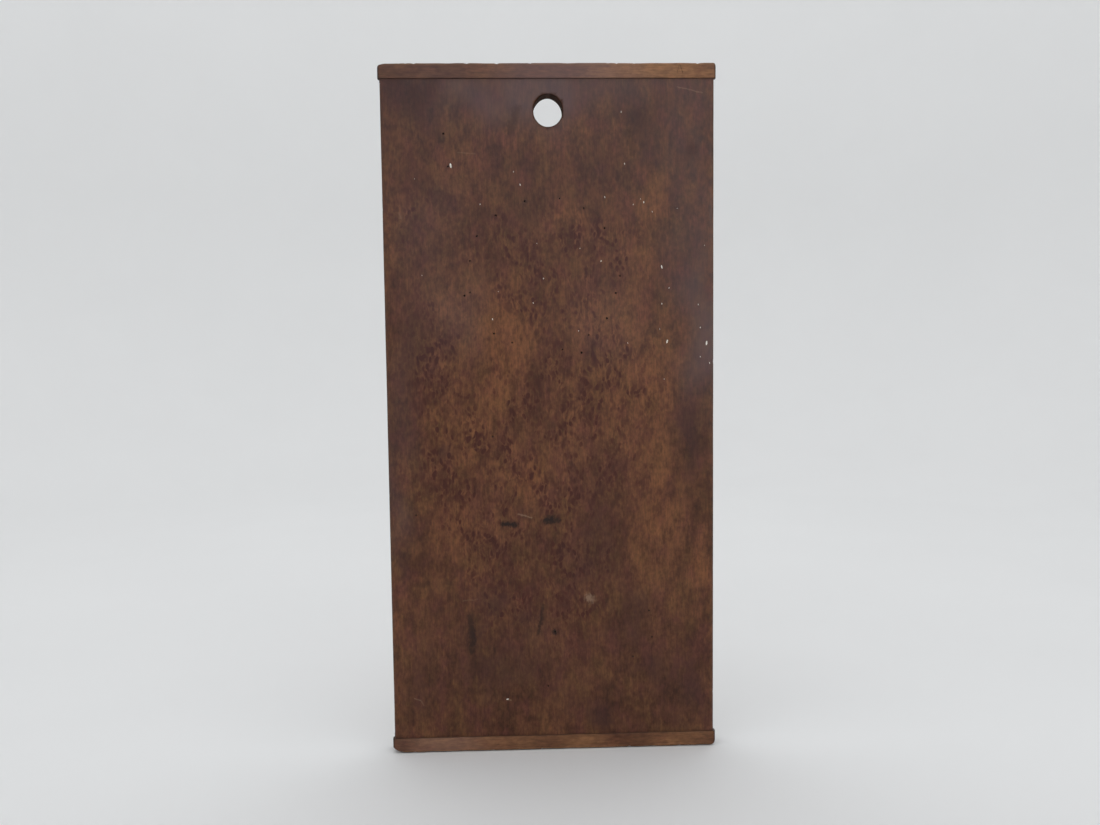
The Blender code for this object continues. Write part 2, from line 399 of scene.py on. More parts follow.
def cleat_stations():
    """Places along a cleat, crowded where its ends turn."""
    half = CLEAT_LENGTH / 2
    middle = 2 * half - 2 * CLEAT_TIP
    spans = math.ceil(middle / CLEAT_GRID)
    left = [-half + cut * MM for cut in CLEAT_TIP_CUTS]
    inner = [-half + CLEAT_TIP + middle * k / spans for k in range(spans + 1)]
    return left + inner + [half - cut * MM for cut in reversed(CLEAT_TIP_CUTS)]


def cleat_rings(left_wear, right_wear, seed):
    """Grooved sections along a cleat that lies with its seam at z = 0, outer edge up."""
    half_y = CLEAT_THICKNESS / 2
    groove = GROOVE_WIDTH / 2
    section = rounded_section(
        [(-half_y, 0.0, 0.5 * MM), (-half_y, CLEAT_HEIGHT, CLEAT_ARRIS),
         (half_y, CLEAT_HEIGHT, CLEAT_ARRIS), (half_y, 0.0, 0.5 * MM),
         (groove, 0.0, 0.2 * MM), (groove, GROOVE_DEPTH, 0.2 * MM),
         (-groove, GROOVE_DEPTH, 0.2 * MM), (-groove, 0.0, 0.2 * MM)], CLEAT_GRID, 3)
    half = CLEAT_LENGTH / 2
    outward_y = smooth_step(groove + 1.0 * MM, half_y, np.abs(section[:, 0]))
    outward_z = smooth_step(GROOVE_DEPTH + 0.6 * MM, CLEAT_HEIGHT, section[:, 1])
    rings = []
    for x in cleat_stations():
        left, right = x + half, half - x
        drop = corner_drop(left, left_wear) + corner_drop(right, right_wear)
        inset = end_inset(min(left, right), CLEAT_END_ROUND)
        ring = []
        for (a, b), wide, high in zip(section, outward_y, outward_z):
            side = math.copysign(1.0, a)
            wave = 0.03 + 0.1 * soft_noise(x * 25, side * 2 + seed, b * 40)
            arris = wide * high
            rub = arris * max(0.0, 0.05 + 0.45 * soft_noise(x * 60, side * 3 + seed, 4.2))
            nick = arris * max(0.0, soft_noise(x * 210, side * 5 + seed, 8.1) - 0.45) * 2.6
            y = a - side * (wide * (inset + MM * (wave + rub * 0.7 + nick * 0.5)))
            fall = min(drop + 0.75 * inset, DEEPEST_WEAR)
            z = b - high * (fall + MM * (wave + rub + nick))
            ring.append((x, y, z))
        rings.append(ring)
    return np.array(rings)


def nail_shape(top, x, grow, rise, seed):
    """A square nail in its cleat, or the cutter for its hole if it is grown and rises."""
    sizes = [  # half width and height, from the tip up to the head at z = 0
        (NAIL_TIP_HALF * 0.3 + grow, -NAIL_LENGTH - grow),
        (NAIL_TIP_HALF + grow, NAIL_POINT_LENGTH - NAIL_LENGTH - grow),
        (NAIL_NECK_HALF + grow, -NAIL_HEAD_HEIGHT - grow - 0.5 * MM),
        (NAIL_NECK_HALF + grow, -NAIL_HEAD_HEIGHT - grow),
        (NAIL_HEAD_HALF + grow, -NAIL_HEAD_HEIGHT - grow + 0.15 * MM),
        (NAIL_HEAD_HALF + grow, -0.25 * MM + rise),
    ]
    if not grow:
        sizes.append((NAIL_HEAD_HALF * 0.82, -0.02 * MM))
        sizes.append((NAIL_HEAD_HALF * 0.35, 0.0))
    rings = []
    for half, z in sizes:
        corners = [(-half, -half), (half, -half), (half, half), (-half, half)]
        ring = rounded_section([(a, b, half * 0.3) for a, b in corners], half * 0.8, 2)
        lift = [0.0 if grow else 0.09 * MM * soft_noise(a * 900 + seed, b * 900, z * 700)
                for a, b in ring]
        rings.append([(x + a + lift[k], b - lift[k], z + 0.7 * lift[k])
                      for k, (a, b) in enumerate(ring)])
    mesh = loft("nail", np.array(rings))
    mesh.transform(upright(top) @ Matrix.Translation((0, 0, CLEAT_HEIGHT - NAIL_SINK)))
    return mesh


def upright(top):
    """From a cleat's own frame, seam at z = 0 and outer edge up, to its place."""
    middle_y = (TOP_LOW.y + TOP_HIGH.y) / 2
    if top:
        return Matrix.Translation((0, middle_y, TOP_LOW.z))
    turned = Matrix(((-1, 0, 0, 0), (0, 1, 0, 0), (0, 0, -1, 0), (0, 0, 0, 1)))
    return Matrix.Translation((0, middle_y, BOTTOM_HIGH.z)) @ turned


def nail_places(top):
    """Each nail's name and its place along the cleat, in the cleat's own frame."""
    prefix = "top_nail" if top else "bottom_nail"
    places = []
    for name in NAILS:
        if name.startswith(prefix):
            low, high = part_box(name)
            x = (low.x + high.x) / 2
            places.append((name, x if top else -x))
    return places


def nail_holes(top, material):
    """The cutter for one cleat's nails: each nail's shape, a little larger."""
    holes = [nail_shape(top, x, JOINT_GAP * 0.8, 4 * MM, 0) for _, x in nail_places(top)]
    return join_meshes("nail_holes", holes, material)


def make_nails(top, material):
    """The forged nails of one cleat, each in the place of its CAD node."""
    for number, (name, x) in enumerate(nail_places(top)):
        mesh = nail_shape(top, x, 0.0, 0.0, number + (10 if top else 20))
        mesh.materials.append(material)
        shade(mesh, 40)
        piece = new_piece(name + "_forged", mesh)
        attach(piece, "root")
        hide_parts(name)


def split_cutter(material):
    """Two thin cracks that lean together like a rafter, in the top cleat's front."""
    blades = []
    for lean, shift in CRACKS:
        bm = bmesh.new()
        bmesh.ops.create_cone(bm, cap_ends=True, segments=8, radius1=1.0, radius2=0.5, depth=1)
        bmesh.ops.scale(bm, vec=CRACK_SIZE, verts=bm.verts)
        bm.transform(Matrix.Rotation(lean, 4, "Y"))
        place = (CRACK_ACROSS + shift, TOP_LOW.y, TOP_LOW.z + CRACK_RISE)
        bm.transform(Matrix.Translation(place))
        blades.append(finished("split", bm))
    return join_meshes("splits", blades, material)


# ================================================================ materials
def fill(tree, made, inputs):
    """Sets inputs, by name or number, each to a value or to another node's output."""
    for key, value in inputs.items():
        if isinstance(value, bpy.types.NodeSocket):
            tree.links.new(value, made.inputs[key])
        else:
            made.inputs[key].default_value = value


def node(tree, kind, inputs, **settings):
    """Adds a node with these inputs and settings."""
    made = tree.nodes.new(kind)
    for key, value in settings.items():
        setattr(made, key, value)
    fill(tree, made, inputs)
    return made


def calc(tree, operation, a, b=0.0, clamp=False):
    """A Math node's result."""
    return node(tree, "ShaderNodeMath", {0: a, 1: b}, operation=operation,
                use_clamp=clamp).outputs[0]


def plus(tree, a, b):
    """The sum of two values."""
    return calc(tree, "ADD", a, b)


def times(tree, a, b):
    """The product of two values."""
    return calc(tree, "MULTIPLY", a, b)


def vectors(tree, operation, a, b, result="Vector"):
    """A Vector Math node's result. For SCALE, b is a number."""
    second = "Scale" if operation == "SCALE" else 1
    return node(tree, "ShaderNodeVectorMath", {0: a, second: b},
                operation=operation).outputs[result]


def ease(tree, value, low, high, to_low=0.0, to_high=1.0):
    """Maps low..high smoothly to to_low..to_high."""
    return node(tree, "ShaderNodeMapRange",
                {"Value": value, "From Min": low, "From Max": high,
                 "To Min": to_low, "To Max": to_high},
                interpolation_type="SMOOTHSTEP").outputs[0]


def tint(tree, factor, a, b, blend="MIX"):
    """Colour a turning into colour b as the factor goes from 0 to 1."""
    def colour(value):
        return (*value, 1.0) if isinstance(value, tuple) and len(value) == 3 else value

    return node(tree, "ShaderNodeMix", {0: factor, 6: colour(a), 7: colour(b)},
                data_type="RGBA", blend_type=blend).outputs[2]


def stretched(tree, vector, scale, offset=(0.0, 0.0, 0.0)):
    """The coordinates scaled: a scale of 100 gives noise about 10 mm across."""
    return node(tree, "ShaderNodeMapping",
                {"Vector": vector, "Scale": scale, "Location": offset}).outputs[0]


def grainy(tree, vector, detail=2.0, roughness=0.5, distortion=0.0):
    """Noise around 0.5."""
    return node(tree, "ShaderNodeTexNoise",
                {"Vector": vector, "Scale": 1.0, "Detail": detail,
                 "Roughness": roughness, "Distortion": distortion}).outputs["Fac"]


def stored(tree, name, strength=None):
    """A value that the mesh holds at its points, times a strength if one is given."""
    value = node(tree, "ShaderNodeAttribute", {}, attribute_name=name).outputs["Fac"]
    return value if strength is None else times(tree, value, strength)


def swing(tree, value, amount):
    """Noise spread evenly from -amount to amount."""
    return ease(tree, value, 0.3, 0.7, -amount, amount)


def warped(tree, vector, scale, amount):
    """The coordinates pushed about by noise, amount metres each way."""
    push = node(tree, "ShaderNodeTexNoise",
                {"Vector": vector, "Scale": scale, "Detail": 2.0}).outputs["Color"]
    centred = vectors(tree, "SUBTRACT", push, (0.5, 0.5, 0.5))
    return vectors(tree, "ADD", vector, vectors(tree, "SCALE", centred, amount * 2))


def cells(tree, vector, **settings):
    """Voronoi cells: the distance to their centres, or as the settings say."""
    return node(tree, "ShaderNodeTexVoronoi", {"Vector": vector, "Scale": 1.0},
                **settings).outputs["Distance"]


def rough_up(tree, shader, height, strength, depth):
    """Bumps on a material, depth metres from low to high."""
    bump = node(tree, "ShaderNodeBump", {"Strength": strength, "Distance": depth,
                                         "Height": height})
    fill(tree, shader, {"Normal": bump.outputs[0]})


def grain_height(tree, fine_grain, wide_grain):
    """How high the wood stands between its pores."""
    return plus(tree, times(tree, fine_grain, 0.6), times(tree, wide_grain, 0.8))


def new_material(name):
    """A material, its node tree, its shader and the piece's own coordinates."""
    material = bpy.data.materials.new(name)
    material.use_nodes = True
    tree = material.node_tree
    shader = tree.nodes["Principled BSDF"]
    place = node(tree, "ShaderNodeTexCoord", {}).outputs["Object"]
    return material, tree, shader, place


PANEL_DARK = (0.05, 0.0165, 0.0072)
PANEL_LIGHT = (0.136, 0.053, 0.024)
PANEL_RED = (0.088, 0.0265, 0.019)
PANEL_GOLD = (0.118, 0.052, 0.0185)
PANEL_GLOW = (0.182, 0.067, 0.018)
# A pale cool veil painted over the brown: painted sheen, the room reflected in the wax
PANEL_PAINTED_SHEEN = (0.108, 0.087, 0.103)
FIGURE_DARK = (0.05, 0.012, 0.007)
STAIN_DARK = (0.03, 0.0117, 0.012)
RUBBED_LIGHT = (0.13, 0.075, 0.045)
# Grime and painted shade: darkens seams, cleat ends, side faces and the hanging hole
GRIME_AND_PAINTED_SHADE = (0.012, 0.006, 0.004)
SMEAR_DARK = (0.013, 0.0058, 0.0042)
SCRATCH_PALE = (0.27, 0.17, 0.11)
DARK_SOFTNESS = 0.86  # how far in a mark fades, as a share of its half width
LIGHT_SOFTNESS = 0.9

DARK_STROKES = [  # start, end, width in mm, strength
    ((-48, -105), (-36, -106.5), 8.2, 1.0), ((-8, -103.5), (5, -102.5), 9.0, 0.85),
    ((-5, -102.5), (-1, -101.5), 12.0, 1.0), ((1, -212.5), (1.5, -213), 8.5, 1.0),
    ((-81, -196), (-80, -230), 11.0, 0.6), ((-79.5, -206), (-79, -224), 9.0, 0.78),
    ((-10, -186), (-12, -198), 4.4, 0.55), ((-12, -198), (-15, -214), 6.2, 0.72),
    ((-29, 288), (-36, 268), 12.0, 0.32), ((77, 268), (80, 246), 10.0, 0.32),
    ((-23, -208), (-25, -216), 7.0, 0.28), ((-56, -21), (-55, -23), 4.0, 0.35),
    ((19, -46), (20, -48), 6.0, 0.4),
]
LIGHT_STROKES = [
    ((122, 308), (146, 302.5), 1.8, 0.3), ((-33, -96), (-20, -99.5), 2.4, 0.45),
    ((34, -179), (37, -181.5), 11.5, 0.64), ((-85, 248), (-69, 247), 2.0, 0.18),
    ((-88, -180), (-74, -179), 2.0, 0.15), ((-137, -276), (-131, -278), 2.2, 0.3),
    ((-131, -278), (-128, -283), 2.0, 0.22), ((-47, -279), (-43, -280), 2.4, 0.45),
    ((-141, 192), (-140, 188), 4.0, 0.22),
]


def stroke(tree, flat, ragged, start, end, width, soft):
    """A mark along a line on the front face, in mm: 1 on it, 0 beyond its ragged edge."""
    a = Vector((start[0] * MM, 0.0, CENTRE.z + start[1] * MM))
    b = Vector((end[0] * MM, 0.0, CENTRE.z + end[1] * MM))
    along = b - a
    from_a = vectors(tree, "SUBTRACT", flat, a)
    dot = vectors(tree, "DOT_PRODUCT", from_a, along, "Value")
    share = calc(tree, "DIVIDE", dot, along.length_squared, clamp=True)
    nearest = vectors(tree, "SCALE", along, share)
    away = vectors(tree, "DISTANCE", from_a, nearest, "Value")
    half = width * MM / 2
    rough = times(tree, ragged, half)
    return ease(tree, plus(tree, away, rough), half, half * (1 - soft))


def marks(tree, flat, ragged, strokes, soft):
    """The strongest of a set of strokes at each point."""
    total = None
    for start, end, width, strength in strokes:
        line = stroke(tree, flat, ragged, start, end, width, soft)
        mask = times(tree, line, strength)
        total = mask if total is None else calc(tree, "MAXIMUM", total, mask)
    return total


def figure_flecks(tree, place):
    """Small dark commas and curls in the wood, gathered in drifts and in broken rings."""
    leaning = warped(tree, place, 60.0, 5 * MM)
    large = grainy(tree, stretched(tree, leaning, (200, 60, 96), (0, 4, 0)), 1.0, 0.5, 0.2)
    small = grainy(tree, stretched(tree, leaning, (400, 60, 180), (7, 1, 3)), 1.0, 0.5)
    drift = grainy(tree, stretched(tree, place, (60, 20, 40), (9, 2, 1)), 2.0, 0.6)
    ring_place = stretched(tree, warped(tree, place, 40.0, 6 * MM), (44, 15, 36))
    from_ring = calc(tree, "SUBTRACT", cells(tree, ring_place), 0.42)
    ring = ease(tree, calc(tree, "ABSOLUTE", from_ring), 0.15, 0.02)
    curl_place = stretched(tree, leaning, (150, 50, 88))
    to_edge = cells(tree, curl_place, feature="DISTANCE_TO_EDGE")
    curl = times(tree, ease(tree, to_edge, 0.16, 0.0), ease(tree, small, 0.42, 0.56))
    crowd = plus(tree, ease(tree, drift, 0.4, 0.6, 0.22, 1.0), times(tree, ring, 0.5))
    comma_place = stretched(tree, leaning, (215, 60, 116), (2, 5, 9))
    to_comma = cells(tree, comma_place)
    fleck = calc(tree, "MAXIMUM", times(tree, ease(tree, large, 0.48, 0.68), 0.75),
                 times(tree, ease(tree, small, 0.48, 0.68), 0.6))
    fleck = calc(tree, "MAXIMUM", fleck, times(tree, curl, 0.52))
    fleck = calc(tree, "MAXIMUM", fleck, ease(tree, to_comma, 0.46, 0.26))
    crowd = times(tree, crowd, stored(tree, "figure"))
    return calc(tree, "MULTIPLY", fleck, crowd, clamp=True)


def marked_front(tree, place, brown):
    """The colour with the front's single marks: dark smears and streaks, pale scratches."""
    flat = vectors(tree, "MULTIPLY", warped(tree, place, 220.0, 1.2 * MM), (1, 0, 1))
    ragged = swing(tree, grainy(tree, stretched(tree, place, (520, 520, 320)), 3.0, 0.6), 0.25)
    axes = node(tree, "ShaderNodeSeparateXYZ", {0: place})
    on_front = ease(tree, axes.outputs["Y"], FRONT_Y + 3 * MM, FRONT_Y + 1 * MM)
    for strokes, softness, colour in ((DARK_STROKES, DARK_SOFTNESS, SMEAR_DARK),
                                      (LIGHT_STROKES, LIGHT_SOFTNESS, SCRATCH_PALE)):
        mark = times(tree, marks(tree, flat, ragged, strokes, softness), on_front)
        brown = tint(tree, mark, brown, colour)
    return brown


def brighten(tree, colour, amount):
    """The colour times one plus the amount."""
    gain = plus(tree, amount, 1.0)
    grey = node(tree, "ShaderNodeCombineColor", {0: gain, 1: gain, 2: gain}).outputs[0]
    return tint(tree, 1.0, colour, grey, "MULTIPLY")


def panel_wood():
    """Dark stained, mottled hardwood with a fine upright grain and an old dull wax."""
    material, tree, shader, place = new_material("aged_panel_wood")
    bent = warped(tree, place, 9.0, 5 * MM)
    wide_grain = grainy(tree, stretched(tree, bent, (420, 420, 22)), 3.0, 0.6)
    fine_grain = grainy(tree, stretched(tree, bent, (1500, 1500, 90)), 2.0, 0.6)
    cloud = grainy(tree, stretched(tree, place, (22, 30, 12), (3, 1, 5)), 4.0, 0.6)
    mottle = grainy(tree, stretched(tree, place, (90, 70, 50), (9, 2, 1)), 3.0, 0.65)
    clump = grainy(tree, stretched(tree, place, (300, 200, 170), (4, 4, 7)), 3.0, 0.6)
    warm = grainy(tree, stretched(tree, place, (60, 40, 34), (1, 8, 4)), 3.0, 0.65)
    figure = figure_flecks(tree, place)

    # The colours: brown from dark to light, redder and more golden in turns
    tone = plus(tree, times(tree, cloud, 0.6), times(tree, mottle, 0.4))
    tone = plus(tree, tone, stored(tree, "glow", 0.3))
    tone = plus(tree, tone, stored(tree, "figure", 0.08))
    brown = tint(tree, ease(tree, tone, 0.26, 0.86), PANEL_DARK, PANEL_LIGHT)
    brown = tint(tree, ease(tree, warm, 0.5, 0.66, 0.0, 0.55), brown, PANEL_RED)
    brown = tint(tree, ease(tree, warm, 0.5, 0.34, 0.0, 0.5), brown, PANEL_GOLD)
    brown = tint(tree, stored(tree, "glow", 0.3), brown, PANEL_GLOW)
    # Painted sheen: where the wax would reflect the pale room, the mottle is calmed
    calm_under_sheen = ease(tree, stored(tree, "painted_sheen"), 0.3, 0.8, 1.0, 0.35)
    uneven = plus(tree, swing(tree, mottle, 0.19), swing(tree, clump, 0.26))
    brown = brighten(tree, brown, times(tree, uneven, calm_under_sheen))
    brown = tint(tree, figure, brown, FIGURE_DARK)
    brown = brighten(tree, brown, swing(tree, wide_grain, 0.08))
    brown = brighten(tree, brown, swing(tree, fine_grain, 0.15))
    # Painted sheen: a pale cool reflection laid over the brown
    brown = tint(tree, stored(tree, "painted_sheen", 0.42), brown, PANEL_PAINTED_SHEEN)
    broken = plus(tree, stored(tree, "stain"), swing(tree, mottle, 0.25))
    brown = tint(tree, ease(tree, broken, 0.05, 1.1, 0.0, 0.62), brown, STAIN_DARK)
    brown = tint(tree, stored(tree, "rubbed", 0.4), brown, RUBBED_LIGHT)
    # Grime and painted shade darken the seams, the side faces and the hanging hole
    brown = tint(tree, stored(tree, "grime_and_painted_shade", 0.8), brown, GRIME_AND_PAINTED_SHADE)
    brown = marked_front(tree, place, brown)

    # The wax is duller in patches, over the figure and where grime and painted shade lie, and the
    # pores break it
    dull = plus(tree, ease(tree, mottle, 0.3, 0.7, 0.34, 0.46), times(tree, figure, 0.06))
    dull = plus(tree, dull, stored(tree, "grime_and_painted_shade", 0.35))
    dull = plus(tree, dull, times(tree, fine_grain, 0.06))
    shine = ease(tree, stored(tree, "grime_and_painted_shade"), 0.1, 0.9, 0.21, 0.03)
    fill(tree, shader, {"Base Color": brown, "Roughness": dull, "Specular IOR Level": shine})
    rough_up(tree, shader, grain_height(tree, fine_grain, wide_grain), 0.35, 0.1 * MM)
    return material


CLEAT_DARK = (0.08, 0.03, 0.015)
CLEAT_LIGHT = (0.23, 0.108, 0.048)
CLEAT_RED = (0.135, 0.05, 0.026)
# A pale cool veil: painted sheen on the cleats
CLEAT_PAINTED_SHEEN = (0.135, 0.09, 0.1)
CLEAT_RUBBED = (0.3, 0.175, 0.085)


def cleat_wood():
    """Lighter, orange-brown wood with its grain along the cleat, darkened at the seam with grime
    and painted shade.
    """
    material, tree, shader, place = new_material("aged_cleat_wood")
    bent = warped(tree, place, 14.0, 3 * MM)
    wide_grain = grainy(tree, stretched(tree, bent, (14, 420, 420)), 3.0, 0.6)
    fine_grain = grainy(tree, stretched(tree, bent, (60, 1500, 1500)), 2.0, 0.6)
    cloud = grainy(tree, stretched(tree, place, (24, 40, 60), (2, 6, 1)), 3.0, 0.6)
    clump = grainy(tree, stretched(tree, place, (130, 200, 280), (4, 4, 7)), 3.0, 0.6)
    warm = grainy(tree, stretched(tree, place, (34, 40, 60), (1, 8, 4)), 3.0, 0.65)
    tone = plus(tree, times(tree, cloud, 0.8), stored(tree, "glow", 0.5))
    brown = tint(tree, ease(tree, tone, 0.2, 0.9), CLEAT_DARK, CLEAT_LIGHT)
    brown = tint(tree, ease(tree, warm, 0.5, 0.66, 0.0, 0.45), brown, CLEAT_RED)
    brown = brighten(tree, brown, swing(tree, clump, 0.2))
    streak = ease(tree, wide_grain, 0.56, 0.7)
    brown = tint(tree, times(tree, streak, 0.22), brown, STAIN_DARK)
    brown = brighten(tree, brown, swing(tree, fine_grain, 0.2))
    # Painted sheen: a pale reflection laid over the cleat's brown
    brown = tint(tree, stored(tree, "painted_sheen", 0.5), brown, CLEAT_PAINTED_SHEEN)
    brown = tint(tree, stored(tree, "stain", 0.5), brown, STAIN_DARK)
    brown = tint(tree, stored(tree, "rubbed", 0.5), brown, CLEAT_RUBBED)
    # Grime and painted shade: at the seam, the ends and the bottom cleat's lower edge
    brown = tint(tree, stored(tree, "grime_and_painted_shade", 0.8), brown, GRIME_AND_PAINTED_SHADE)
    dull = ease(tree, cloud, 0.3, 0.7, 0.4, 0.55)
    fill(tree, shader, {"Base Color": brown, "Roughness": dull, "Specular IOR Level": 0.22})
    rough_up(tree, shader, grain_height(tree, fine_grain, wide_grain), 0.4, 0.12 * MM)
    return material


# Near black: painted shade for the walls of bores, cracks and nail holes
DUST_AND_SHADE_DARK = (0.003, 0.002, 0.0015)
DUST_AND_SHADE_PALE = (0.014, 0.008, 0.005)
IRON_DARK = (0.06, 0.055, 0.052)
IRON_RUST = (0.07, 0.026, 0.012)
IRON_RUBBED = (0.22, 0.2, 0.19)
PAINT_WHITE = (0.78, 0.76, 0.7)
PAINT_AGED = (0.6, 0.55, 0.46)


def dust_and_painted_shade():
    """The inside of bores, cracks and nail holes: old dust and rust, painted near black as shade.
    """
    material, tree, shader, place = new_material("dust_and_painted_shade")
    speck = grainy(tree, stretched(tree, place, (900, 900, 900)), 2.0, 0.6)
    dust_and_shade = tint(tree, ease(tree, speck, 0.35, 0.7), DUST_AND_SHADE_DARK, DUST_AND_SHADE_PALE)
    fill(tree, shader, {"Base Color": dust_and_shade, "Roughness": 0.9})
    return material


def old_iron():
    """Dark hammered iron, rusty in its hollows and rubbed bright in spots."""
    material, tree, shader, place = new_material("old_iron")
    rust = grainy(tree, stretched(tree, place, (700, 700, 700)), 4.0, 0.65)
    spot = grainy(tree, stretched(tree, place, (1900, 1900, 1900), (3, 1, 8)), 2.0, 0.6)
    amount = ease(tree, rust, 0.42, 0.62)
    iron = tint(tree, amount, IRON_DARK, IRON_RUST)
    iron = tint(tree, ease(tree, spot, 0.62, 0.75, 0.0, 0.6), iron, IRON_RUBBED)
    fill(tree, shader, {"Base Color": iron, "Metallic": calc(tree, "SUBTRACT", 0.9, amount),
                        "Roughness": ease(tree, rust, 0.3, 0.7, 0.42, 0.85)})
    rough_up(tree, shader, rust, 0.5, 0.08 * MM)
    return material


def dried_paint():
    """Flecks of old white wall paint, chalky and a little yellowed."""
    material, tree, shader, place = new_material("dried_paint")
    age = grainy(tree, stretched(tree, place, (500, 500, 500)), 3.0, 0.6)
    white = tint(tree, ease(tree, age, 0.35, 0.7), PAINT_WHITE, PAINT_AGED)
    fill(tree, shader, {"Base Color": white, "Roughness": 0.6})
    return material


# ================================================================ where the colours lie
SPOT_FADE = 1.3  # how steeply every spot below dies out from its middle


def noise_at(points, scales, offset=(0, 0, 0)):
    """Smooth noise from -1 to 1 at each point, its place scaled and moved."""
    return np.array([soft_noise(*place) for place in points * scales + offset])


def blotches(x, z, spots):
    """The sum of soft oval spots (across, up, half width, half height, strength), in mm."""
    total = np.zeros(len(x))
    for across, up, wide, high, strength in spots:
        away = ((x / MM - across) / wide) ** 2 + (((z - CENTRE.z) / MM - up) / high) ** 2
        total += strength * np.exp(-away * SPOT_FADE)
    return total


STAIN_SPOTS = [
    (85, 277, 16, 14, 0.8), (132, 257, 15, 16, 0.8), (50, 232, 14, 28, 0.4),
    (-120, 220, 17, 18, 0.5), (-140, 245, 26, 30, 0.35), (84, -180, 26, 26, 0.4),
    (-20, 188, 26, 28, 0.65), (40, 142, 18, 10, 0.35),
    (-130, 72, 14, 46, 0.55), (-146, 0, 10, 60, 0.35), (-100, -33, 14, 14, 0.65),
    (-35, -8, 12, 10, 0.3), (140, -25, 14, 46, 0.85), (45, -112, 24, 60, 0.55),
    (15, -150, 30, 40, 0.35), (-60, -128, 14, 12, 0.35), (-65, -178, 16, 16, 0.6),
    (-20, -203, 20, 14, 0.45), (45, -300, 12, 16, 0.75), (95, -253, 16, 14, 0.7),
    (130, -268, 24, 28, 0.8), (-125, 297, 30, 20, 0.5), (-80, -212, 10, 24, 0.45),
    (-140, 300, 26, 30, 0.3),
    (-133, -262, 26, 50, 0.48), (-60, -255, 40, 28, 0.5), (20, -285, 60, 28, 0.35),
    (-130, 312, 40, 12, 0.4), (80, -210, 28, 30, 0.45), (0, -240, 60, 30, 0.35),
    (-60, -205, 50, 40, 0.3), (100, 300, 60, 24, 0.2), (110, -310, 50, 14, 0.3),
]
GLOW_SPOTS = [
    (-45, 62, 22, 50, 1.0), (-20, -62, 20, 18, 0.95), (100, -85, 26, 90, 0.75),
    (147, -150, 13, 40, 1.0), (-95, 107, 30, 38, 0.65), (55, 92, 56, 26, 0.6),
    (95, 192, 18, 48, 0.6), (20, 187, 16, 14, 0.5), (-147, 182, 10, 24, 0.8),
    (-90, -110, 34, 55, 0.5), (-85, 230, 30, 34, 0.35), (-30, 105, 34, 34, 0.5),
    (-75, -5, 44, 60, 0.6), (60, 15, 46, 40, 0.4), (105, 25, 24, 50, 0.45),
    (0, 270, 30, 20, 0.3), (-140, 240, 20, 60, 0.25),
]
# Painted sheen: where a pale reflection of the room is painted over the front
PAINTED_SHEEN_SPOTS = [
    (0, 325, 170, 40, 0.45), (-70, 297, 34, 20, 0.4), (-5, 300, 36, 26, 0.8),
    (142, 105, 24, 90, 0.62), (148, 62, 18, 44, 0.45), (-150, -90, 12, 60, 0.35),
    (130, 250, 28, 60, 0.18), (-95, 100, 34, 50, 0.35), (-140, 20, 16, 90, 0.25),
    (50, 90, 50, 40, 0.2), (-120, 180, 40, 50, 0.2),
]
FIGURE_SPOTS = [
    (0, 165, 85, 36, 1.0), (60, 150, 46, 36, 0.7), (-120, 188, 36, 32, 0.7),
    (-15, 112, 64, 30, 0.95), (-115, 62, 36, 48, 1.0), (50, 50, 64, 38, 0.95),
    (-20, -5, 110, 50, 1.0), (-85, -55, 48, 52, 0.95), (-50, -155, 50, 70, 1.0),
    (15, -165, 48, 70, 1.0), (-20, -100, 84, 34, 0.85), (40, -60, 54, 44, 0.8),
    (40, 230, 60, 26, 0.35),
]


